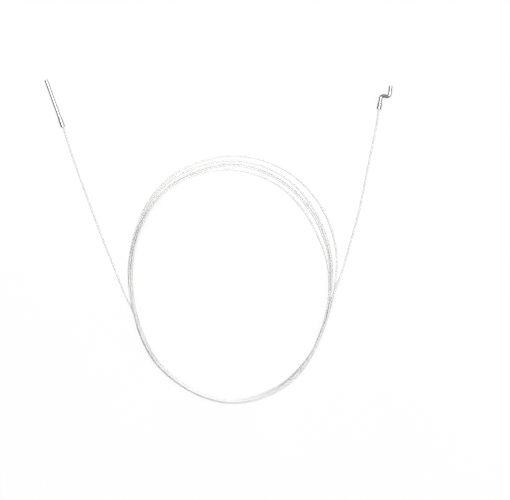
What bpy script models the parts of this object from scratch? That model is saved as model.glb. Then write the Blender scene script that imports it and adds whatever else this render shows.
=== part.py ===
"""Throttle cable: a bare steel wire strand lying in a loose coil, with a swaged rod end and a swaged Z hook.

The cable lies on the plane z = 0 and is seen from above, with +X to the right and +Y away from the coil.
The origin is on that plane, midway between the two end fittings.
"""

import math

import bmesh
import bpy
from mathutils import Matrix, Vector

MM = 0.001

# Clearance between pieces that touch, in millimetres
CLEARANCE = 0.3

# Wire strand, in millimetres
WIRE_DIAMETER = 1.0

# Tube stock that both end fittings are swaged from, in millimetres
TUBE_DIAMETER = 2.7
SWAGED_DIAMETER = 2.1

# Straight rod end, in millimetres and degrees
ROD_LENGTH = 31.5
ROD_MOUTH_LENGTH = 3.4
ROD_TAPER_LENGTH = 4.6
ROD_LIP_LENGTH = 0.7
ROD_TIP_CHAMFER = 0.15
ROD_MOUTH_PLACE = (-96.85, -14.8)
ROD_HEADING = 19.9

# Z hook, in millimetres and degrees. Its legs are measured between the corners of its centreline.
HOOK_MOUTH_LENGTH = 3.5
HOOK_TAPER_LENGTH = 0.5
HOOK_LIP_LENGTH = 0.25
HOOK_LOWER_LEG = 8.7
HOOK_MIDDLE_LEG = 5.2
HOOK_TIP_LEG = 7.0
HOOK_BEND_RADIUS = 1.6
HOOK_FIRST_BEND = 86.5
HOOK_SECOND_BEND = 88.5
HOOK_TIP_CHAMFER = 0.3
HOOK_MOUTH_PLACE = (99.8, -3.75)
HOOK_HEADING = -9.5

# The open hollow of a mouth ends this far short of where the swaging starts, and its rounded rim leaves a
# flat land of this width round the bore, in millimetres
SOCKET_FLOOR = 0.7
MOUTH_LAND = 0.06

# Facets round a fitting, along one of its bends, down its taper and round its lip
FITTING_SIDES = 32
BEND_STEPS = 10
TAPER_STEPS = 6
LIP_STEPS = 4

# Coil: centre, and for each hour of a clock face, counter-clockwise from three o'clock, the radius of its
# outer edge and the width of its bunch of turns, in millimetres
COIL_CENTRE = (8.5, -110.0)
COIL_OUTER_RADIUS = (64.9, 70.4, 76.0, 78.1, 75.6, 69.1, 65.6, 67.4, 73.2, 77.3, 73.7, 65.4)
COIL_WIDTH = (5.6, 10.8, 11.7, 9.8, 6.0, 3.9, 3.5, 3.1, 3.0, 3.3, 3.2, 3.1)

# Wires that lie on each other in the bunch
COIL_LAYERS = 3
COIL_STATIONS = 120
COIL_CORNER_STEPS = 3

# Clock angles where the two tails leave the coil, in degrees counter-clockwise from three o'clock
ROD_TAIL_ANGLE = 191.0
HOOK_TAIL_ANGLE = 357.5

# Routes of the two tails from the fittings to the coil, in millimetres
ROD_TAIL_ROUTE = (
    (-92.0, -30.4),
    (-86.7, -45.4),
    (-81.3, -60.4),
    (-75.7, -75.4),
    (-69.9, -90.4),
    (-63.9, -105.3),
)
HOOK_TAIL_ROUTE = (
    (98.7, -11.7),
    (95.8, -26.7),
    (92.7, -41.7),
    (89.8, -56.7),
    (86.5, -71.6),
    (82.2, -86.6),
)

# Length over which a tail comes down from its fitting's axis to the plane, in millimetres
TAIL_DROP_LENGTH = 14.0

# Length of the last bend of a tail, where it comes in along the coil's edge, in millimetres, and how much it
# leans away from that edge for each millimetre
TAIL_LANE_LENGTH = 3.0
TAIL_LANE_LEAN = 0.15

# Distance between the points of a tail, in wire diameters, and steps of the curve that they are read from
TAIL_SPACING = 3.0
CURVE_STEPS = 40

# Edges sharper than this are not shaded smooth, in degrees
SHARP_ANGLE = 35.0

# Points closer than this are one point, in millimetres
MERGE_DISTANCE = 0.001

# Finish: zinc plate on the fittings and drawn steel in the wire
PLATED_STEEL = (0.62, 0.62, 0.63, 1.0)
PLATED_ROUGHNESS = 0.32
DRAWN_STEEL = (0.52, 0.52, 0.53, 1.0)
DRAWN_ROUGHNESS = 0.42


def clear_scene():
    for old in list(bpy.data.objects):
        bpy.data.objects.remove(old, do_unlink=True)


def steel(name, colour, roughness):
    material = bpy.data.materials.new(name)
    material.use_nodes = True
    shader = material.node_tree.nodes["Principled BSDF"]
    shader.inputs["Base Color"].default_value = colour
    shader.inputs["Metallic"].default_value = 1.0
    shader.inputs["Roughness"].default_value = roughness
    material.diffuse_color = colour
    return material


def flat(place, height):
    """A point over the plane, from (x, y) and a height, all in millimetres."""
    return Vector((place[0], place[1], height))


def heading(degrees):
    """The flat direction that leans this far to the left of +Y."""
    angle = math.radians(degrees)
    return Vector((-math.sin(angle), math.cos(angle), 0.0))


def add_object(name, mesh_maker, material):
    """An object whose mesh is filled by mesh_maker in millimetres and then taken to metres."""
    bm = bmesh.new()
    mesh_maker(bm)
    bmesh.ops.transform(bm, matrix=Matrix.Scale(MM, 4), verts=bm.verts)
    bmesh.ops.recalc_face_normals(bm, faces=bm.faces)
    mesh = bpy.data.meshes.new(name)
    bm.to_mesh(mesh)
    bm.free()
    mesh.materials.append(material)
    mesh.shade_smooth()
    mesh.set_sharp_from_angle(angle=math.radians(SHARP_ANGLE))
    made = bpy.data.objects.new(name, mesh)
    bpy.context.scene.collection.objects.link(made)
    return made


def skin(bm, rings, closed=False):
    """Faces between neighbouring rings of points, with flat caps at the ends unless the rings close up."""
    made = [[bm.verts.new(point) for point in ring] for ring in rings]
    pairs = list(zip(made, made[1:]))
    if closed:
        pairs.append((made[-1], made[0]))
    for first, second in pairs:
        for k in range(len(first)):
            after = (k + 1) % len(first)
            bm.faces.new((first[k], first[after], second[after], second[k]))
    if not closed:
        bm.faces.new(reversed(made[0]))
        bm.faces.new(made[-1])


# End fittings


def bent_line(start, direction, legs, bends=(), radius=0.0):
    """Points and directions along flat straight legs joined by arcs. A positive bend turns to the right."""
    points = [(start.copy(), direction.copy())]
    corner = start.copy()
    for k, bend in enumerate(bends):
        corner = corner + direction * legs[k]
        turn = -math.radians(bend)
        cut = radius * math.tan(abs(turn) / 2)
        arc_start = corner - direction * cut
        side = Matrix.Rotation(math.copysign(math.pi / 2, turn), 3, "Z") @ direction
        centre = arc_start + side * radius
        for step in range(BEND_STEPS + 1):
            swing = Matrix.Rotation(turn * step / BEND_STEPS, 3, "Z")
            points.append((centre + swing @ (arc_start - centre), swing @ direction))
        direction = Matrix.Rotation(turn, 3, "Z") @ direction
    points.append((corner + direction * legs[-1], direction))
    return points


def ring_of_points(centre, direction, radius):
    """A round section across a flat direction."""
    side = Vector((direction.y, -direction.x, 0.0))
    up = Vector((0.0, 0.0, 1.0))
    ring = []
    for k in range(FITTING_SIDES):
        angle = math.tau * k / FITTING_SIDES
        ring.append(centre + (side * math.cos(angle) + up * math.sin(angle)) * radius)
    return ring


def swaged_fitting(bm, line, mouth_length, taper_length, lip_length, tip_chamfer):
    """A tube swaged onto the wire along a line from its mouth to its tip. Its mouth is left open and wide."""
    start, out = line[0]
    full = TUBE_DIAMETER / 2
    swaged = SWAGED_DIAMETER / 2
    socket = WIRE_DIAMETER / 2 + CLEARANCE
    lip_depth = full - socket - MOUTH_LAND
    profile = [(mouth_length - SOCKET_FLOOR, socket), (0.0, socket)]
    for step in range(LIP_STEPS + 1):
        angle = math.pi / 2 * step / LIP_STEPS
        along = lip_length * (1 - math.cos(angle))
        profile.append((along, full - lip_depth * (1 - math.sin(angle))))
    for step in range(TAPER_STEPS + 1):
        share = step / TAPER_STEPS
        narrowing = share * share * (3 - 2 * share)
        profile.append((mouth_length + taper_length * share, full + (swaged - full) * narrowing))
    rings = [ring_of_points(start + out * along, out, radius) for along, radius in profile]
    rings += [ring_of_points(point, way, swaged) for point, way in line[1:-1]]
    tip, way = line[-1]
    rings.append(ring_of_points(tip - way * tip_chamfer, way, swaged))
    rings.append(ring_of_points(tip, way, swaged - tip_chamfer))
    skin(bm, rings)


def make_rod_end(material):
    start = flat(ROD_MOUTH_PLACE, TUBE_DIAMETER / 2)
    line = bent_line(start, heading(ROD_HEADING), (ROD_LENGTH,))

    def mesh_maker(bm):
        swaged_fitting(bm, line, ROD_MOUTH_LENGTH, ROD_TAPER_LENGTH, ROD_LIP_LENGTH, ROD_TIP_CHAMFER)

    return add_object("rod_end", mesh_maker, material)


def make_z_hook(material):
    start = flat(HOOK_MOUTH_PLACE, TUBE_DIAMETER / 2)
    legs = (HOOK_LOWER_LEG, HOOK_MIDDLE_LEG, HOOK_TIP_LEG)
    bends = (HOOK_FIRST_BEND, -HOOK_SECOND_BEND)
    line = bent_line(start, heading(HOOK_HEADING), legs, bends, HOOK_BEND_RADIUS)

    def mesh_maker(bm):
        swaged_fitting(
            bm, line, HOOK_MOUTH_LENGTH, HOOK_TAPER_LENGTH, HOOK_LIP_LENGTH, HOOK_TIP_CHAMFER
        )

    return add_object("z_hook", mesh_maker, material)


# Coil


def by_hour(values, degrees):
    """A smooth value round the clock from one value for each hour."""
    count = len(values)
    place = (degrees % 360.0) / 360.0 * count
    k = int(place)
    t = place - k
    before, here, after, beyond = (values[(k + step) % count] for step in (-1, 0, 1, 2))
    slope_here = (after - before) / 2
    slope_after = (beyond - here) / 2
    rise = after - here
    return (
        here
        + slope_here * t
        + (3 * rise - 2 * slope_here - slope_after) * t**2
        + (slope_here + slope_after - 2 * rise) * t**3
    )


def coil_height():
    """Height of the bunch: round wires of the upper layers sit in the grooves of the layer below."""
    return WIRE_DIAMETER * (1 + (COIL_LAYERS - 1) * math.sqrt(3) / 2)


def coil_outer(degrees, with_tail_pass):
    """Radius of the outer edge. Along the bottom one more pass lies outside the full turns."""
    outer = by_hour(COIL_OUTER_RADIUS, degrees)
    if not with_tail_pass:
        return outer
    share = (degrees - ROD_TAIL_ANGLE) / (HOOK_TAIL_ANGLE - ROD_TAIL_ANGLE)
    return outer + (WIRE_DIAMETER + CLEARANCE) * abs(math.cos(math.pi * share)) ** 3


def coil_section(degrees, with_tail_pass):
    """The bunch's section at a clock angle: a rounded block that rests on the plane."""
    angle = math.radians(degrees)
    way = Vector((math.cos(angle), math.sin(angle), 0.0))
    outer = coil_outer(degrees, with_tail_pass)
    inner = by_hour(COIL_OUTER_RADIUS, degrees) - by_hour(COIL_WIDTH, degrees)
    height = coil_height()
    corner = WIRE_DIAMETER / 2
    corners = (
        (outer - corner, height - corner),
        (inner + corner, height - corner),
        (inner + corner, corner),
        (outer - corner, corner),
    )
    centre = flat(COIL_CENTRE, 0.0)
    points = []
    for quarter, (across, up) in enumerate(corners):
        for step in range(COIL_CORNER_STEPS + 1):
            turn = math.pi / 2 * (quarter + step / COIL_CORNER_STEPS)
            reach = across + corner * math.cos(turn)
            points.append(centre + way * reach + Vector((0, 0, up + corner * math.sin(turn))))
    return points


def make_coil(material):
    """The outer shape of the coil, with a step where each tail leaves it."""
    long_way = HOOK_TAIL_ANGLE - ROD_TAIL_ANGLE
    bottom_steps = round(COIL_STATIONS * long_way / 360.0)
    top_steps = COIL_STATIONS - bottom_steps
    rings = []
    for step in range(bottom_steps + 1):
        rings.append(coil_section(ROD_TAIL_ANGLE + long_way * step / bottom_steps, True))
    for step in range(top_steps + 1):
        rings.append(coil_section(HOOK_TAIL_ANGLE + (360.0 - long_way) * step / top_steps, False))

    def mesh_maker(bm):
        skin(bm, rings, closed=True)
        bmesh.ops.remove_doubles(bm, verts=bm.verts, dist=MERGE_DISTANCE)
        bmesh.ops.dissolve_degenerate(bm, edges=bm.edges, dist=MERGE_DISTANCE)

    return add_object("wire_coil", mesh_maker, material)


# Tails


def smooth_line(points, spacing):
    """Evenly spaced points on a smooth curve through the given points."""
    ends = [points[0] * 2 - points[1], *points, points[-1] * 2 - points[-2]]
    fine = []
    for k in range(1, len(ends) - 2):
        for step in range(CURVE_STEPS):
            t = step / CURVE_STEPS
            before, here, after, beyond = ends[k - 1 : k + 3]
            fine.append(
                here
                + (after - before) * (t / 2)
                + (before * 2 - here * 5 + after * 4 - beyond) * (t**2 / 2)
                + (beyond - after * 3 + here * 3 - before) * (t**3 / 2)
            )
    fine.append(points[-1])
    run = [0.0]
    for here, after in zip(fine, fine[1:]):
        run.append(run[-1] + (after - here).length)
    count = max(2, round(run[-1] / spacing))
    line = []
    k = 0
    for step in range(count + 1):
        want = run[-1] * step / count
        while k < len(fine) - 2 and run[k + 1] < want:
            k += 1
        share = (want - run[k]) / (run[k + 1] - run[k])
        line.append(fine[k].lerp(fine[k + 1], min(1.0, share)))
    return line


def tail_end(degrees, away):
    """The last two points of a tail: it comes in along the coil's edge and stops just short of the step."""
    points = []
    for reach in (TAIL_LANE_LENGTH, 0.0):
        at = degrees + away * math.degrees((reach + CLEARANCE) / coil_outer(degrees, False))
        angle = math.radians(at)
        out = coil_outer(at, False) + CLEARANCE + WIRE_DIAMETER / 2 + TAIL_LANE_LEAN * reach
        way = Vector((math.cos(angle), math.sin(angle), 0.0))
        points.append(flat(COIL_CENTRE, 0.0) + way * out)
    return points


def lay_down(line, level_length, start_height, end_height):
    """Lifts a flat line so that it comes down gently from one height to the other, after a level start."""
    run = 0.0
    laid = []
    for k, point in enumerate(line):
        if k:
            run += (point - line[k - 1]).length
        share = min(1.0, max(0.0, (run - level_length) / TAIL_DROP_LENGTH))
        fall = share * share * (3 - 2 * share)
        height = start_height + (end_height - start_height) * fall
        laid.append(Vector((point.x, point.y, height)))
    return laid


def make_tail(name, mouth_place, fitting_heading, mouth_length, route, step_angle, away, material):
    """A plain round wire from the bottom of a fitting's hollow mouth to the coil."""
    inward = heading(fitting_heading)
    mouth = flat(mouth_place, 0.0)
    seat_length = mouth_length - SOCKET_FLOOR - CLEARANCE
    points = [mouth + inward * seat_length, mouth - inward * CLEARANCE]
    points += [flat(place, 0.0) for place in route]
    points += tail_end(step_angle, away)
    line = smooth_line(points, TAIL_SPACING * WIRE_DIAMETER)
    line = lay_down(line, seat_length, TUBE_DIAMETER / 2, WIRE_DIAMETER / 2)
    curve = bpy.data.curves.new(name, "CURVE")
    curve.dimensions = "3D"
    curve.bevel_depth = WIRE_DIAMETER / 2 * MM
    curve.bevel_resolution = 2
    curve.use_fill_caps = True
    spline = curve.splines.new("POLY")
    spline.points.add(len(line) - 1)
    for point, place in zip(spline.points, line):
        point.co = (*(place * MM), 1.0)
    curve.materials.append(material)
    made = bpy.data.objects.new(name, curve)
    bpy.context.scene.collection.objects.link(made)
    return made


clear_scene()
plated = steel("plated_steel", PLATED_STEEL, PLATED_ROUGHNESS)
drawn = steel("drawn_steel_wire", DRAWN_STEEL, DRAWN_ROUGHNESS)
make_rod_end(plated)
make_z_hook(plated)
make_coil(drawn)
make_tail(
    "wire_tail_rod_end",
    ROD_MOUTH_PLACE,
    ROD_HEADING,
    ROD_MOUTH_LENGTH,
    ROD_TAIL_ROUTE,
    ROD_TAIL_ANGLE,
    -1,
    drawn,
)
make_tail(
    "wire_tail_hook_end",
    HOOK_MOUTH_PLACE,
    HOOK_HEADING,
    HOOK_MOUTH_LENGTH,
    HOOK_TAIL_ROUTE,
    HOOK_TAIL_ANGLE,
    1,
    drawn,
)
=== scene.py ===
"""Looks of the throttle cable: the twisted strand in its coil, its two swaged fittings and a white studio.

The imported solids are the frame. The cable lies on the plane z = 0 and is seen from straight above, with +X
to the right and +Y to the top of the picture. Sizes are millimetres and angles are degrees, unless a name or
a comment says otherwise. MM takes millimetres to metres.
"""

import math

import bmesh
import bpy
import numpy as np
from mathutils import Matrix, Vector, kdtree


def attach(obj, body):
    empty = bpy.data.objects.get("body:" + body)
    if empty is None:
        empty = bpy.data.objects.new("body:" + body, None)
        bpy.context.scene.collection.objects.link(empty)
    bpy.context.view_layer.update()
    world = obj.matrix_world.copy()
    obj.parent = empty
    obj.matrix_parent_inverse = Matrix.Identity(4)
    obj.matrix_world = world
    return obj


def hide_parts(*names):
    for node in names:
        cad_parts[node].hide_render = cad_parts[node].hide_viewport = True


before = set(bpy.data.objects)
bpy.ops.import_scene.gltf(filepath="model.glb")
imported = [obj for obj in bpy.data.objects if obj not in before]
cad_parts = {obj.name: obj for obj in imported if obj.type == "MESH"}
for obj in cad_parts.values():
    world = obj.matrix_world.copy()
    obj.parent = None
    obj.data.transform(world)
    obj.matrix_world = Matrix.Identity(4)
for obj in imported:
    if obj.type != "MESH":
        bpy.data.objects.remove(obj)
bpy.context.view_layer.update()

MM = 0.001
WHITE = (1.0, 1.0, 1.0, 1.0)

# The strand: six outer wires laid round one, with grooves of this share of their full depth between them
WIRE_DIAMETER = 1.0
OUTER_WIRES = 6
LONE_WIRE_RADIUS = WIRE_DIAMETER / 6
LAY_LENGTH = 7.0
GROOVE_SHARE = 0.35

# Fineness of the strand: points round each outer wire, the distance between its rings, and the steps of the
# curve between two points of its route
POINTS_PER_WIRE = 4
STATION_SPACING = 0.66
ROUTE_STEPS = 40

# Tube stock of both fittings, and the gap between the wire and the open mouth that it enters
TUBE_DIAMETER = 2.7
SWAGED_DIAMETER = 2.1
CLEARANCE = 0.3

# Straight rod end. A heading leans this far to the left of +Y
ROD_LENGTH = 31.5
ROD_MOUTH_LENGTH = 3.4
ROD_TAPER_LENGTH = 4.6
ROD_LIP_LENGTH = 0.7
ROD_TIP_CHAMFER = 0.15
ROD_MOUTH_PLACE = (-96.85, -14.8)
ROD_HEADING = 19.9

# Z hook, with its legs measured between the corners of its centreline
HOOK_MOUTH_LENGTH = 3.5
HOOK_TAPER_LENGTH = 0.5
HOOK_LIP_LENGTH = 0.25
HOOK_LOWER_LEG = 8.7
HOOK_MIDDLE_LEG = 5.2
HOOK_TIP_LEG = 7.0
HOOK_BEND_RADIUS = 1.6
HOOK_FIRST_BEND = 86.5
HOOK_SECOND_BEND = 88.5
HOOK_TIP_CHAMFER = 0.3
HOOK_MOUTH_PLACE = (99.8, -3.75)
HOOK_HEADING = -9.5

# The hook's middle leg is coloured dark and dull: how far before the leg's first corner that starts,
# how far before the second it stops, and the length over which it fades
DARK_LEG_LEAD = 1.2
DARK_LEG_STOP = 0.6
DARK_LEG_FADE = 0.8

# The dull mark of the die half way down the taper: its half length and its strength
TAPER_MARK_LENGTH = 0.35
TAPER_MARK = 0.8

# Faint ripple that the swaging leaves: its height, and its pace in radians per millimetre
RIPPLE_HEIGHT = 0.006
RIPPLE_PACE = 5.1

# The open hollow of a mouth: the depth of metal behind its floor, and the flat land left on its rim
SOCKET_FLOOR = 0.7
MOUTH_LAND = 0.06

# Fineness of a fitting's surface, and how near the body's rings come to the lip and to the tip's chamfer
FITTING_SIDES = 64
FITTING_STEP = 0.25
BEND_STEPS = 24
FLOOR_SHARES = (0.02, 0.3, 0.6, 0.85, 1.0)
SOCKET_STEPS = 12
LIP_STEPS = 8
LIP_GAP = 0.05
CHAMFER_STEPS = 4
CHAMFER_GAP = 0.02
TIP_RINGS = 18

# Painted dark reflection down both sides of a fitting, where smooth zinc would mirror dark surroundings:
# where it starts across the tube's half width, the share of it over which it begins, and its strength on the
# left and the right
DARK_REFLECTION_START = 0.44
DARK_REFLECTION_FADE = 0.18
ROD_DARK_REFLECTIONS = (1.0, 0.6)
HOOK_DARK_REFLECTIONS = (1.0, 1.0)

# The seam round the strand's cut end in a fitting's tip and between its wires: its depth, the width of its
# slope, how far up that slope a wire's edge is, and how bare the cut face is rubbed
END_SEAM_DEPTH = 0.06
END_SEAM_WIDTH = 0.05
END_SEAM_EDGE = 0.35
TIP_RUB = 0.6

# Coil: its centre, and at every LANE_STEP counter-clockwise from three o'clock the outermost wire's radius
COIL_CENTRE = (8.5, -110.0)
LANE_STEP = 15.0
OUTER_LANE = (
    64.4, 67.1, 69.9, 72.8, 75.5, 77.1,
    77.6, 76.4, 75.0, 72.0, 68.3, 65.8,
    64.6, 64.7, 66.7, 70.1, 72.5, 75.1,
    76.8, 75.8, 73.5, 69.1, 65.2, 63.9,
)

# How far each turn lies inside the outermost wire, at every hour from nine o'clock round by six, three and
# twelve
HOUR_STEP = 30.0
NINE_O_CLOCK = 180.0
TURN_INSETS = (
    (0.0, 0.0, 0.0, 0.0, 0.0, 0.5, 0.0, 0.0, 0.0, 0.0, 0.0, 0.0),
    (0.0, 1.0, 1.0, 1.0, 1.2, 1.5, 2.3, 4.6, 4.1, 3.1, 1.9, 1.05),
    (1.05, 2.0, 2.0, 2.0, 2.9, 1.0, 3.3, 6.6, 7.6, 6.0, 5.0, 1.6),
    (0.5, 0.5, 0.5, 0.5, 0.6, 0.5, 2.8, 5.3, 6.6, 5.0, 4.2, 2.3),
    (2.1, 1.5, 1.5, 1.5, 2.1, 1.5, 4.1, 9.7, 10.6, 8.7, 5.3, 2.9),
    (1.55, 1.0, 1.0, 1.0, 1.4, 1.0),
)

# Where the first turn starts and the last one ends, and the step between the points of their route
FIRST_ANGLE = 207.0
LAST_ANGLE = 338.0
COIL_POINT_STEP = 10.0

# Routes of the two tails from the fittings to the coil, and on over its edge to where they join the turns
ROD_TAIL_ROUTE = (
    (-92.0, -30.4),
    (-86.7, -45.4),
    (-81.3, -60.4),
    (-75.7, -75.4),
    (-69.9, -90.4),
    (-63.9, -105.3),
    (-59.5, -116.6),
    (-56.0, -124.1),
    (-52.6, -131.5),
)
HOOK_TAIL_ROUTE = (
    (98.7, -11.7),
    (95.8, -26.7),
    (92.7, -41.7),
    (89.8, -56.7),
    (86.5, -71.6),
    (82.2, -86.6),
    (77.9, -101.6),
    (75.3, -109.1),
    (72.4, -116.6),
    (69.4, -124.1),
)

# Length over which a tail comes down from its fitting's axis to the plane
TAIL_DROP_LENGTH = 14.0

# Length over which a wire climbs onto those below it, on each side of a crossing, and the length of wire
# before a station that counts as the same pass
HUMP_LENGTH = 9.0
SAME_PASS_LENGTH = 4 * WIRE_DIAMETER

# Camera: the middle of the picture, the width that it shows, its lens and film width, and its near clip in
# metres
VIEW_CENTRE = (22.65, -91.29)
VIEW_WIDTH = 318.24
LENS = 100.0
FILM_WIDTH = 36.0
NEAR_CLIP = 0.01

# Table top: its half width and its gap under the cable, both in metres, its cells along a side, the strength
# of the plain white mixed into it for the camera and the metal, and the share of that white
FLOOR_REACH = 3.0
FLOOR_GAP = 0.00002
FLOOR_CELLS = 4
FLOOR_GLOW = 1.18
FLOOR_GLOW_SHARE = 0.62

# Soft light all round, and the large lamp overhead in watts and metres
WORLD_LEVEL = 0.5
KEY_POWER = 12.0
KEY_SIZE = 1.7
KEY_PLACE = (0.1, 0.3, 1.35)

# The dark panels that the metal shows: their grey, the height over which they fade at the top, and how far
# up they reach at each bearing, where bearings are degrees from +X and a height of 1 is straight up
PANEL_GREY = 0.04
PANEL_FADE = 0.15
PANEL_HEIGHTS = (
    (-180.0, 0.97), (-155.0, 1.0), (-130.0, 0.88), (-115.0, 0.45), (-100.0, 0.0), (-65.0, 0.0),
    (-50.0, 0.4), (-35.0, 0.38), (-20.0, 0.35), (-5.0, 0.7), (15.0, 0.75), (30.0, 0.65), (45.0, 0.4),
    (65.0, 0.0), (95.0, 0.0), (115.0, 0.5), (135.0, 0.9), (160.0, 0.98), (180.0, 0.97),
)


def flat(place, height=0.0):
    """A point over the plane, from (x, y) and a height."""
    return Vector((place[0], place[1], height))


def heading(degrees):
    """The flat direction that leans this far to the left of +Y."""
    angle = math.radians(degrees)
    return Vector((-math.sin(angle), math.cos(angle), 0.0))


def ease(share):
    """A gentle step from 0 to 1."""
    share = min(1.0, max(0.0, share))
    return share * share * (3 - 2 * share)


def distances(points):
    """How far along their line each of the points lies."""
    return np.concatenate(((0.0,), np.cumsum(np.linalg.norm(np.diff(points, axis=0), axis=1))))


# Node trees


def add_node(tree, kind, settings=None, **inputs):
    """A node with its settings and the values or links of its inputs.

    An input is named by i and its number, or by its name with underscores for spaces.
    """
    made = tree.nodes.new(kind)
    for name, value in (settings or {}).items():
        setattr(made, name, value)
    for name, value in inputs.items():
        socket = made.inputs[int(name[1:])] if name[1:].isdigit() else made.inputs[name.replace("_", " ")]
        if isinstance(value, bpy.types.NodeSocket):
            tree.links.new(value, socket)
        else:
            socket.default_value = value
    return made


def new_material(name):
    """A new material and its node tree, which starts empty."""
    material = bpy.data.materials.new(name)
    material.use_nodes = True
    tree = material.node_tree
    tree.nodes.clear()
    return material, tree


def ramp(tree, factor, stops):
    """A colour ramp through (position, grey or colour) stops."""
    made = add_node(tree, "ShaderNodeValToRGB", i0=factor)
    elements = made.color_ramp.elements
    while len(elements) < len(stops):
        elements.new(0.5)
    for element, (position, colour) in zip(elements, stops):
        element.position = position
        if isinstance(colour, float):
            colour = (colour, colour, colour)
        element.color = (*colour, 1.0)
    return made.outputs["Color"]


def maths(tree, operation, *values):
    """The result of one operation on numbers or on the outputs of other nodes."""
    inputs = {f"i{k}": value for k, value in enumerate(values)}
    return add_node(tree, "ShaderNodeMath", {"operation": operation}, **inputs).outputs[0]


def weighted_sum(tree, *terms, base=0.0):
    """A base, and on top of it each (output, weight) pair multiplied together."""
    total = base
    for output, weight in terms:
        total = maths(tree, "MULTIPLY_ADD", output, weight, total)
    return total


def blend_colours(tree, factor, first, second, mode="MIX"):
    """Two colours mixed or multiplied. They are the node's inputs 6 and 7, and the result is output 2."""
    settings = {"data_type": "RGBA", "blend_type": mode}
    return add_node(tree, "ShaderNodeMix", settings, i0=factor, i6=first, i7=second).outputs[2]


def noise(tree, vector, scale, detail=4.0, roughness=0.55):
    """Cloudy noise of this many cells to a unit."""
    settings = {"Scale": scale, "Detail": detail, "Roughness": roughness}
    return add_node(tree, "ShaderNodeTexNoise", Vector=vector, **settings).outputs["Fac"]


def stretched_noise(tree, scale, detail, roughness):
    """Noise laid along and around the piece, finer one way than the other."""
    along = add_node(tree, "ShaderNodeUVMap", {"uv_map": "along_around"}).outputs["UV"]
    place = add_node(tree, "ShaderNodeMapping", Vector=along, Scale=scale).outputs["Vector"]
    return noise(tree, place, 1.0, detail, roughness)


def attribute(tree, name):
    """The strength of a mark that the mesh's points carry."""
    return add_node(tree, "ShaderNodeAttribute", {"attribute_name": name}).outputs["Fac"]


def finish_metal(tree, colour, roughness, height, strength, distance):
    """The metal shader, with a bump of this strength and distance in metres."""
    bump = add_node(tree, "ShaderNodeBump", Strength=strength, Distance=distance, Height=height)
    shader = add_node(
        tree, "ShaderNodeBsdfPrincipled", Metallic=1.0, Base_Color=colour, Roughness=roughness,
        Normal=bump.outputs["Normal"],
    )
    add_node(tree, "ShaderNodeOutputMaterial", Surface=shader.outputs[0])


def strand_steel():
    """Bright drawn steel wires with drawing lines along them, and painted shade down in the rougher grooves.
    """
    material, tree = new_material("drawn_steel_strand")
    place = add_node(tree, "ShaderNodeTexCoord").outputs["Object"]
    groove = attribute(tree, "groove")
    cloud = noise(tree, place, 160.0, 3.0)
    grain = noise(tree, place, 2400.0, 3.0)
    lines = stretched_noise(tree, (0.35, 46.0, 1.0), 5.0, 0.6)
    shades = (0.3, (0.87, 0.88, 0.87)), (0.52, (0.925, 0.93, 0.92)), (0.75, (0.95, 0.95, 0.94))
    steel = ramp(tree, cloud, shades)
    streaks = ramp(tree, lines, ((0.25, 0.88), (0.5, 1.0), (0.8, 1.0)))
    drawn = blend_colours(tree, 1.0, steel, streaks, "MULTIPLY")
    # Painted shade: the grooves between the wires are coloured darker
    groove_shade = ramp(tree, grain, ((0.3, (0.50, 0.52, 0.50)), (0.7, (0.66, 0.68, 0.65))))
    depth = ramp(tree, groove, ((0.0, 0.0), (0.5, 0.04), (1.0, 0.7)))
    colour = blend_colours(tree, depth, drawn, groove_shade)
    roughness = weighted_sum(tree, (lines, 0.26), (groove, 0.22), base=0.34)
    height = weighted_sum(tree, (lines, 0.7), (grain, 0.3))
    finish_metal(tree, colour, roughness, height, 0.35, 0.00003)
    return material


def plated_steel():
    """Zinc plate on swaged steel: pale, with faint clouds and fine lines along it.

    It is dark and dull on the hook's middle leg and in the die's mark on the taper. Both sides carry a
    painted dark reflection of the surroundings, and the mouth carries painted shade, darker towards its
    floor. It is rubbed bare on the rim and the tip.
    """
    material, tree = new_material("zinc_plated_steel")
    place = add_node(tree, "ShaderNodeTexCoord").outputs["Object"]
    pressed = attribute(tree, "pressed")
    inside = attribute(tree, "inside")
    cloud = noise(tree, place, 420.0, 4.0, 0.6)
    grain = noise(tree, place, 5200.0, 3.0)
    lines = stretched_noise(tree, (1.1, 30.0, 1.0), 5.0, 0.6)
    rings = stretched_noise(tree, (14.0, 0.8, 1.0), 3.0, 0.5)
    shades = (0.3, (0.80, 0.81, 0.81)), (0.5, (0.88, 0.885, 0.88)), (0.72, (0.92, 0.92, 0.91))
    zinc = ramp(tree, cloud, shades)
    streaks = ramp(tree, lines, ((0.28, 0.80), (0.48, 1.0), (0.8, 1.0)))
    colour = blend_colours(tree, 1.0, zinc, streaks, "MULTIPLY")
    worn = maths(tree, "MULTIPLY", attribute(tree, "rubbed"), ramp(tree, grain, ((0.35, 0.2), (0.6, 1.0))))
    colour = blend_colours(tree, worn, colour, (0.62, 0.62, 0.61, 1.0))
    # Painted dark reflection: the tube's sides are coloured darker, where smooth zinc would mirror dark
    # surroundings
    colour = blend_colours(tree, attribute(tree, "flank"), colour, (0.23, 0.235, 0.23, 1.0))
    dull = ramp(tree, cloud, ((0.3, (0.08, 0.1, 0.088)), (0.7, (0.16, 0.185, 0.17))))
    # Dark and dull on the hook's middle leg and in the die's mark on the taper
    colour = blend_colours(tree, maths(tree, "MULTIPLY", pressed, 0.95), colour, dull)
    # Painted shade inside the mouth, darker towards its floor
    colour = blend_colours(tree, maths(tree, "MULTIPLY", inside, 0.8), colour, (0.16, 0.16, 0.155, 1.0))
    roughness = weighted_sum(tree, (cloud, 0.16), (pressed, 0.14), (inside, 0.2), base=0.14)
    height = weighted_sum(tree, (lines, 0.5), (rings, 0.5), (grain, 0.25))
    finish_metal(tree, colour, roughness, height, 0.4, 0.00004)
    return material


# Meshes from rings of points


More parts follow.
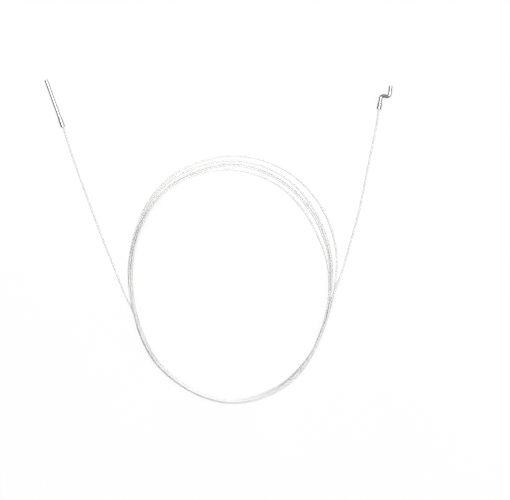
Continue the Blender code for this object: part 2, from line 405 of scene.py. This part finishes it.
def mesh_object(name, rings, material, attributes):
    """A closed tube through rings of points, with its material, its point attributes and its UV."""
    points = np.array(rings)
    count, sides, _ = points.shape
    around = np.arange(sides)
    first = np.arange(count - 1)[:, None] * sides
    here = first + around
    after = first + (around + 1) % sides
    faces = np.stack((here, after, after + sides, here + sides), axis=-1).reshape(-1, 4).tolist()
    faces.append(list(range(sides))[::-1])
    faces.append(list(range((count - 1) * sides, count * sides)))
    mesh = bpy.data.meshes.new(name)
    mesh.from_pydata((points.reshape(-1, 3) * MM).tolist(), [], faces)
    add_tube_uv(mesh, points)
    for label, values in attributes.items():
        spread = np.broadcast_to(np.asarray(values, dtype=np.float32), (count, sides))
        made = mesh.attributes.new(label, "FLOAT", "POINT")
        made.data.foreach_set("value", np.ascontiguousarray(spread).ravel())
    mesh.materials.append(material)
    mesh.shade_smooth()
    mesh.validate()
    made = bpy.data.objects.new(name, mesh)
    bpy.context.scene.collection.objects.link(made)
    return made


def add_tube_uv(mesh, points):
    """U is the distance along the tube in millimetres, and V the share of the way round it."""
    count, sides, _ = points.shape
    steps = np.linalg.norm(np.diff(points.mean(axis=1), axis=0), axis=1)
    rims = np.linalg.norm(np.diff(points[:, 0], axis=0), axis=1)
    along = np.concatenate(((0.0,), np.cumsum(np.maximum(steps, rims))))
    loops = np.empty(len(mesh.loops), dtype=np.int32)
    mesh.loops.foreach_get("vertex_index", loops)
    place = np.stack((along[loops // sides], (loops % sides) / sides), axis=-1)
    # A face across the seam, where V falls back to 0, gets 1 added at its far corners
    quads = place[: (count - 1) * sides * 4].reshape(-1, 4, 2)
    quads[:, :, 1] += quads[:, :1, 1] - quads[:, :, 1] > 0.5
    layer = mesh.uv_layers.new(name="along_around")
    layer.data.foreach_set("uv", place.astype(np.float32).ravel())


# End fittings


def bent_line(start, direction, legs, bends=(), radius=0.0):
    """Points and directions along straight legs joined by arcs. A positive bend turns right."""
    stations = []
    at = start.copy()
    done = 0.0
    for k, leg in enumerate(legs):
        cut = radius * math.tan(math.radians(abs(bends[k])) / 2) if k < len(bends) else 0.0
        straight = leg - done - cut
        steps = max(2, round(straight / FITTING_STEP))
        stations += [(at + direction * straight * step / steps, direction.copy()) for step in range(steps)]
        at = at + direction * straight
        if k < len(bends):
            turn = -math.radians(bends[k])
            side = Matrix.Rotation(math.copysign(math.pi / 2, turn), 3, "Z") @ direction
            centre = at + side * radius
            for step in range(BEND_STEPS):
                swing = Matrix.Rotation(turn * step / BEND_STEPS, 3, "Z")
                stations.append((centre + swing @ (at - centre), swing @ direction))
            swing = Matrix.Rotation(turn, 3, "Z")
            at = centre + swing @ (at - centre)
            direction = swing @ direction
            done = cut
    stations.append((at, direction.copy()))
    return stations


def ring(centre, direction, radius, lift=None):
    """A round section across a flat direction. lift moves each of its points along the direction."""
    side = Vector((direction.y, -direction.x, 0.0))
    points = []
    for k in range(FITTING_SIDES):
        angle = math.tau * k / FITTING_SIDES
        point = centre + side * (math.cos(angle) * radius) + Vector((0, 0, math.sin(angle) * radius))
        if lift:
            point += direction * lift(math.cos(angle) * radius, math.sin(angle) * radius)
        points.append(tuple(point))
    return points


def marked(points, **strengths):
    """A ring with the strength of each mark on it."""
    return points, {"inside": 0.0, "pressed": 0.0, "rubbed": 0.0, "flank": 0.0, **strengths}


def mouth_rings(mouth, out, mouth_length, lip_length):
    """From the middle of the socket's floor, out along its wall and round the rim to the tube's full size."""
    socket = WIRE_DIAMETER / 2 + CLEARANCE
    depth = mouth_length - SOCKET_FLOOR
    # The inside strength, 1 on the floor and fading to 0 at the rim, carries painted shade
    rings = [marked(ring(mouth + out * depth, out, socket * share), inside=1.0) for share in FLOOR_SHARES]
    for step in range(SOCKET_STEPS):
        place = depth * (1 - (step + 1) / SOCKET_STEPS)
        rings.append(marked(ring(mouth + out * place, out, socket), inside=place / depth))
    full = TUBE_DIAMETER / 2
    lip_depth = full - socket - MOUTH_LAND
    for step in range(LIP_STEPS + 1):
        angle = math.pi / 2 * step / LIP_STEPS
        place = lip_length * (1 - math.cos(angle))
        radius = full - lip_depth * (1 - math.sin(angle))
        bare = math.cos(angle) ** 0.5
        # Painted dark reflection on the sides, growing as the lip turns from the rim onto the tube's outside
        rings.append(marked(ring(mouth + out * place, out, radius), rubbed=bare, flank=math.sin(angle)))
    return rings


def body_rings(line, mouth_length, taper_length, lip_length, tip_chamfer, pressed_leg):
    """From behind the lip, down the taper and round the bends, to just before the tip's chamfer."""
    steps = [(after[0] - here[0]).length for here, after in zip(line, line[1:])]
    runs = np.cumsum([0.0, *steps])
    rings = []
    for run, (point, way) in zip(runs, line):
        if run <= lip_length + LIP_GAP or runs[-1] - run < tip_chamfer + CHAMFER_GAP:
            continue
        narrowing = ease((run - mouth_length) / taper_length)
        ripple = RIPPLE_HEIGHT * math.sin(run * RIPPLE_PACE) * narrowing
        radius = (TUBE_DIAMETER + (SWAGED_DIAMETER - TUBE_DIAMETER) * narrowing) / 2 + ripple
        from_mark = abs(run - mouth_length - taper_length / 2)
        dull = max(0.0, 1 - from_mark / TAPER_MARK_LENGTH) * TAPER_MARK
        if pressed_leg:
            first, last = pressed_leg
            dull = max(dull, ease((run - first) / DARK_LEG_FADE) * ease((last - run) / DARK_LEG_FADE))
        # Painted dark reflection on the sides all along the body
        rings.append(marked(ring(point, way, radius), pressed=dull, flank=1.0))
    return rings


def tip_rings(tip, way, tip_chamfer):
    """Round the chamfer of the tip, and over its face to the middle of the cut strand."""
    rings = []
    for step in range(CHAMFER_STEPS + 1):
        angle = math.pi / 2 * step / CHAMFER_STEPS
        cut = tip_chamfer * (1 - math.sin(angle))
        radius = SWAGED_DIAMETER / 2 - tip_chamfer * (1 - math.cos(angle))
        rings.append(marked(ring(tip - way * cut, way, radius), rubbed=1.0))
    face = SWAGED_DIAMETER / 2 - tip_chamfer
    for step in range(1, TIP_RINGS):
        rings.append(marked(ring(tip, way, face * (1 - step / TIP_RINGS), cut_strand), rubbed=TIP_RUB))
    return rings


def cut_strand(across, up):
    """Height of a tip's face: the cut wires of the strand stand clear of each other and of the tube."""
    centres = [(0.0, 0.0)]
    for k in range(OUTER_WIRES):
        angle = math.tau * k / OUTER_WIRES
        centres.append((2 * LONE_WIRE_RADIUS * math.cos(angle), 2 * LONE_WIRE_RADIUS * math.sin(angle)))
    inside = LONE_WIRE_RADIUS - min(math.hypot(across - x, up - y) for x, y in centres)
    outside = math.hypot(across, up) - WIRE_DIAMETER / 2
    land = max(inside, outside)
    return -END_SEAM_DEPTH * (1.0 - ease(land / END_SEAM_WIDTH + END_SEAM_EDGE))


def make_fitting(
    name, material, line, mouth_length, taper_length, lip_length, tip_chamfer, flanks, pressed_leg=None
):
    """A tube swaged onto the strand: its hollow mouth, rim, taper, bends and tip with the cut strand."""
    mouth, out = line[0]
    tip, way = line[-1]
    rings = mouth_rings(mouth, out, mouth_length, lip_length)
    rings += body_rings(line, mouth_length, taper_length, lip_length, tip_chamfer, pressed_leg)
    rings += tip_rings(tip, way, tip_chamfer)
    across = np.cos(math.tau * np.arange(FITTING_SIDES) / FITTING_SIDES)
    # Painted dark reflection: its strength at each point round the tube, on the left and the right
    reflection_share = np.where(across < 0, *flanks) * np.clip((abs(across) - DARK_REFLECTION_START) / DARK_REFLECTION_FADE, 0, 1)
    marks = {label: np.array([[strengths[label]] for _, strengths in rings]) for label in rings[0][1]}
    marks["flank"] = marks["flank"] * reflection_share
    return mesh_object(name, [points for points, _ in rings], material, marks)


# The strand's route


def by_step(values, place):
    """A smooth value between evenly spaced ones, at a place counted in steps. The list closes on itself."""
    count = len(values)
    k = math.floor(place)
    share = place - k
    before, here, after, beyond = (values[(k + step) % count] for step in (-1, 0, 1, 2))
    slope_here = (after - before) / 2
    slope_after = (beyond - here) / 2
    rise = after - here
    return (
        here
        + slope_here * share
        + (3 * rise - 2 * slope_here - slope_after) * share**2
        + (slope_here + slope_after - 2 * rise) * share**3
    )


def coil_points():
    """Flat points of the turns, from where the rod's tail joins them to where the hook's tail leaves them."""
    insets = [inset for turn in TURN_INSETS for inset in turn]
    last = LAST_ANGLE + 360.0 * (len(TURN_INSETS) - 1)
    count = round((last - FIRST_ANGLE) / COIL_POINT_STEP)
    points = []
    for step in range(count + 1):
        degrees = FIRST_ANGLE + (last - FIRST_ANGLE) * step / count
        lane = by_step(OUTER_LANE, degrees / LANE_STEP)
        radius = lane - by_step(insets, (degrees - NINE_O_CLOCK) / HOUR_STEP)
        angle = math.radians(degrees)
        points.append(flat(COIL_CENTRE) + Vector((math.cos(angle), math.sin(angle), 0.0)) * radius)
    return points


def smooth_line(points, spacing):
    """Evenly spaced points on a smooth curve through the given points."""
    ends = np.array([points[0] * 2 - points[1], *points, points[-1] * 2 - points[-2]])
    share = np.linspace(0.0, 1.0, ROUTE_STEPS, endpoint=False)[:, None]
    fine = []
    for before, here, after, beyond in zip(ends, ends[1:], ends[2:], ends[3:]):
        fine.append(
            here
            + (after - before) * (share / 2)
            + (before * 2 - here * 5 + after * 4 - beyond) * (share**2 / 2)
            + (beyond - after * 3 + here * 3 - before) * (share**3 / 2)
        )
    fine = np.concatenate((*fine, ends[-2:-1]))
    run = distances(fine)
    want = np.linspace(0.0, run[-1], round(run[-1] / spacing) + 1)
    return np.stack([np.interp(want, run, fine[:, k]) for k in range(3)], axis=-1)


def passes_below(line, spacing):
    """For each station, the stations of earlier passes under it, and how far it has to lie above each."""
    tree = kdtree.KDTree(len(line))
    for k, place in enumerate(line):
        tree.insert(place, k)
    tree.balance()
    skip = round(SAME_PASS_LENGTH / spacing)
    below = []
    for k, place in enumerate(line):
        near = [(j, gap) for _, j, gap in tree.find_range(place, WIRE_DIAMETER) if j < k - skip]
        below.append([(j, math.sqrt(max(0.0, WIRE_DIAMETER**2 - gap**2))) for j, gap in near])
    return below


def hump_heights(below, spacing):
    """Heights on the plane, and over the passes below in long low humps.

    Each round lifts a pass over the ones under it as they lie by then, and the rounds let the stack settle.
    """
    low = WIRE_DIAMETER / 2
    reach = round(HUMP_LENGTH / spacing)
    window = np.hanning(2 * reach + 3)[1:-1]
    window /= window.sum()
    height = np.full(len(below), low)
    for _ in range(2 * len(TURN_INSETS)):
        need = np.array([max([low, *(height[j] + rise for j, rise in under)]) for under in below])
        padded = np.pad(need, 2 * reach, mode="edge")
        crest = np.array([padded[k : k + 2 * reach + 1].max() for k in range(len(below) + 2 * reach)])
        height = np.convolve(crest, window, mode="valid")
    return height


def heights(line, seat_depths):
    """Height of each station: on the plane or on the passes below it, and rising to a fitting at each end."""
    spacing = np.linalg.norm(line[1] - line[0])
    height = hump_heights(passes_below(line, spacing), spacing)
    low = WIRE_DIAMETER / 2
    axis = TUBE_DIAMETER / 2
    run = np.arange(len(line)) * spacing
    for distance, depth in zip((run, run[::-1]), seat_depths):
        for k, away in enumerate(distance):
            if away < depth + TAIL_DROP_LENGTH:
                fall = ease((away - depth) / TAIL_DROP_LENGTH)
                height[k] = max(height[k], axis + (low - axis) * fall)
    return height


def wire_seat(place, degrees, mouth_length):
    """Where the wire ends in a fitting's mouth, a point just outside the rim, and how deep the end sits."""
    depth = mouth_length - SOCKET_FLOOR - CLEARANCE
    return flat(place) + heading(degrees) * depth, flat(place) - heading(degrees) * CLEARANCE, depth


def strand_line():
    """Evenly spaced stations of the centreline, from inside the rod end to inside the hook."""
    rod_seat, rod_rim, rod_depth = wire_seat(ROD_MOUTH_PLACE, ROD_HEADING, ROD_MOUTH_LENGTH)
    hook_seat, hook_rim, hook_depth = wire_seat(HOOK_MOUTH_PLACE, HOOK_HEADING, HOOK_MOUTH_LENGTH)
    route = [rod_seat, rod_rim, *map(flat, ROD_TAIL_ROUTE)]
    route += coil_points()
    route += [*map(flat, reversed(HOOK_TAIL_ROUTE)), hook_rim, hook_seat]
    line = smooth_line(route, STATION_SPACING)
    line[:, 2] = heights(line, (rod_depth, hook_depth))
    return line


def strand_section():
    """Angles and radii of the strand's outline: round outer wires with shallow grooves between them."""
    section = []
    for lobe in range(OUTER_WIRES):
        for k in range(POINTS_PER_WIRE):
            lean = math.pi / OUTER_WIRES * (2 * k / POINTS_PER_WIRE - 1)
            across = 2 * LONE_WIRE_RADIUS * math.sin(lean)
            radius = 2 * LONE_WIRE_RADIUS * math.cos(lean)
            radius += math.sqrt(max(0.0, LONE_WIRE_RADIUS**2 - across**2))
            radius = WIRE_DIAMETER / 2 + (radius - WIRE_DIAMETER / 2) * GROOVE_SHARE
            section.append((math.tau * lobe / OUTER_WIRES + lean, radius))
    return section


def make_strand():
    """The whole twisted strand, its centreline in metres and its length in metres."""
    line = strand_line()
    run = distances(line)
    tangent = np.gradient(line, axis=0)
    tangent /= np.linalg.norm(tangent, axis=1)[:, None]
    side = np.cross(tangent, (0.0, 0.0, 1.0))
    side /= np.linalg.norm(side, axis=1)[:, None]
    up = np.cross(side, tangent)
    angles, radii = (np.array(values) for values in zip(*strand_section()))
    turned = angles[None, :] + math.tau * run[:, None] / LAY_LENGTH
    across = (np.cos(turned) * radii)[:, :, None] * side[:, None, :]
    above = (np.sin(turned) * radii)[:, :, None] * up[:, None, :]
    groove = (radii.max() - radii) / (radii.max() - radii.min())
    rings = line[:, None, :] + across + above
    strand = mesh_object("twisted_wire_strand", rings, strand_steel(), {"groove": groove})
    return strand, line * MM, run[-1] * MM


# Studio


def make_floor():
    """A white table top. It shows as white to the camera and in the metal, and keeps the cable's shadow."""
    material, tree = new_material("white_table_top")
    cloud = noise(tree, add_node(tree, "ShaderNodeTexCoord").outputs["Object"], 9.0, 2.0)
    paint = ramp(tree, cloud, ((0.3, 0.78), (0.7, 0.80)))
    path = add_node(tree, "ShaderNodeLightPath")
    seen = maths(tree, "MAXIMUM", path.outputs["Is Camera Ray"], path.outputs["Is Glossy Ray"])
    seen = maths(tree, "MAXIMUM", seen, path.outputs["Is Transmission Ray"])
    surface = add_node(tree, "ShaderNodeBsdfDiffuse", Color=paint)
    glow = add_node(tree, "ShaderNodeEmission", Color=WHITE, Strength=FLOOR_GLOW)
    share = maths(tree, "MULTIPLY", seen, FLOOR_GLOW_SHARE)
    shader = add_node(tree, "ShaderNodeMixShader", i0=share, i1=surface.outputs[0], i2=glow.outputs[0])
    add_node(tree, "ShaderNodeOutputMaterial", Surface=shader.outputs[0])
    bm = bmesh.new()
    bmesh.ops.create_grid(bm, x_segments=FLOOR_CELLS, y_segments=FLOOR_CELLS, size=FLOOR_REACH)
    mesh = bpy.data.meshes.new("table_top")
    bm.to_mesh(mesh)
    bm.free()
    mesh.materials.append(material)
    floor = bpy.data.objects.new("table_top", mesh)
    floor.location = (VIEW_CENTRE[0] * MM, VIEW_CENTRE[1] * MM, -FLOOR_GAP)
    bpy.context.scene.collection.objects.link(floor)


def make_world():
    """A white studio all round, with tall dark panels on the left and the right that show only in metal."""
    world = bpy.data.worlds.new("white_studio")
    bpy.context.scene.world = world
    world.use_nodes = True
    tree = world.node_tree
    tree.nodes.clear()
    way = add_node(tree, "ShaderNodeTexCoord").outputs["Generated"]
    parts = add_node(tree, "ShaderNodeSeparateXYZ", Vector=way)
    bearing = maths(tree, "ARCTAN2", parts.outputs["Y"], parts.outputs["X"])
    turn = maths(tree, "ADD", maths(tree, "DIVIDE", bearing, math.tau), 0.5)
    top = ramp(tree, turn, [(degrees / 360.0 + 0.5, height) for degrees, height in PANEL_HEIGHTS])
    below = maths(tree, "DIVIDE", maths(tree, "SUBTRACT", top, parts.outputs["Z"]), PANEL_FADE)
    room = ramp(tree, below, ((0.0, 1.0), (1.0, PANEL_GREY)))
    path = add_node(tree, "ShaderNodeLightPath")
    mirrored = maths(tree, "MAXIMUM", path.outputs["Is Glossy Ray"], path.outputs["Is Transmission Ray"])
    shown = blend_colours(tree, mirrored, WHITE, room)
    seen = maths(tree, "MAXIMUM", mirrored, path.outputs["Is Camera Ray"])
    soft = add_node(tree, "ShaderNodeBackground", Color=WHITE, Strength=WORLD_LEVEL)
    white = add_node(tree, "ShaderNodeBackground", Color=shown, Strength=1.0)
    shader = add_node(tree, "ShaderNodeMixShader", i0=seen, i1=soft.outputs[0], i2=white.outputs[0])
    add_node(tree, "ShaderNodeOutputWorld", Surface=shader.outputs[0])


def make_lamp():
    """One large soft lamp overhead, aimed at the middle of the picture."""
    lamp = bpy.data.lights.new("soft_key", "AREA")
    lamp.size = KEY_SIZE
    lamp.energy = KEY_POWER
    key = bpy.data.objects.new("soft_key", lamp)
    key.location = KEY_PLACE
    aim = flat(VIEW_CENTRE) * MM - key.location
    key.rotation_euler = aim.to_track_quat("-Z", "Y").to_euler()
    bpy.context.scene.collection.objects.link(key)


def make_camera():
    """A camera straight above, as high as it takes for its lens to show the picture's width."""
    lens = bpy.data.cameras.new("overhead_camera")
    lens.lens = LENS
    lens.sensor_width = FILM_WIDTH
    lens.clip_start = NEAR_CLIP
    camera = bpy.data.objects.new("overhead_camera", lens)
    camera.location = (VIEW_CENTRE[0] * MM, VIEW_CENTRE[1] * MM, VIEW_WIDTH * MM * LENS / FILM_WIDTH)
    bpy.context.scene.collection.objects.link(camera)
    bpy.context.scene.camera = camera


# The pieces

bpy.context.scene.view_settings.view_transform = "Standard"
zinc_plate = plated_steel()

rod_end = make_fitting(
    "swaged_rod_end",
    zinc_plate,
    bent_line(flat(ROD_MOUTH_PLACE, TUBE_DIAMETER / 2), heading(ROD_HEADING), (ROD_LENGTH,)),
    mouth_length=ROD_MOUTH_LENGTH,
    taper_length=ROD_TAPER_LENGTH,
    lip_length=ROD_LIP_LENGTH,
    tip_chamfer=ROD_TIP_CHAMFER,
    flanks=ROD_DARK_REFLECTIONS,
)
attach(rod_end, "root")
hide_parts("rod_end")

z_hook = make_fitting(
    "swaged_z_hook",
    zinc_plate,
    bent_line(
        flat(HOOK_MOUTH_PLACE, TUBE_DIAMETER / 2),
        heading(HOOK_HEADING),
        (HOOK_LOWER_LEG, HOOK_MIDDLE_LEG, HOOK_TIP_LEG),
        (HOOK_FIRST_BEND, -HOOK_SECOND_BEND),
        HOOK_BEND_RADIUS,
    ),
    mouth_length=HOOK_MOUTH_LENGTH,
    taper_length=HOOK_TAPER_LENGTH,
    lip_length=HOOK_LIP_LENGTH,
    tip_chamfer=HOOK_TIP_CHAMFER,
    flanks=HOOK_DARK_REFLECTIONS,
    pressed_leg=(HOOK_LOWER_LEG - DARK_LEG_LEAD, HOOK_LOWER_LEG + HOOK_MIDDLE_LEG - DARK_LEG_STOP),
)
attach(z_hook, "root")
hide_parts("z_hook")

strand, centreline, strand_length = make_strand()
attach(strand, "root")
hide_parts("wire_tail_rod_end", "wire_coil", "wire_tail_hook_end")

make_floor()
make_world()
make_lamp()
make_camera()
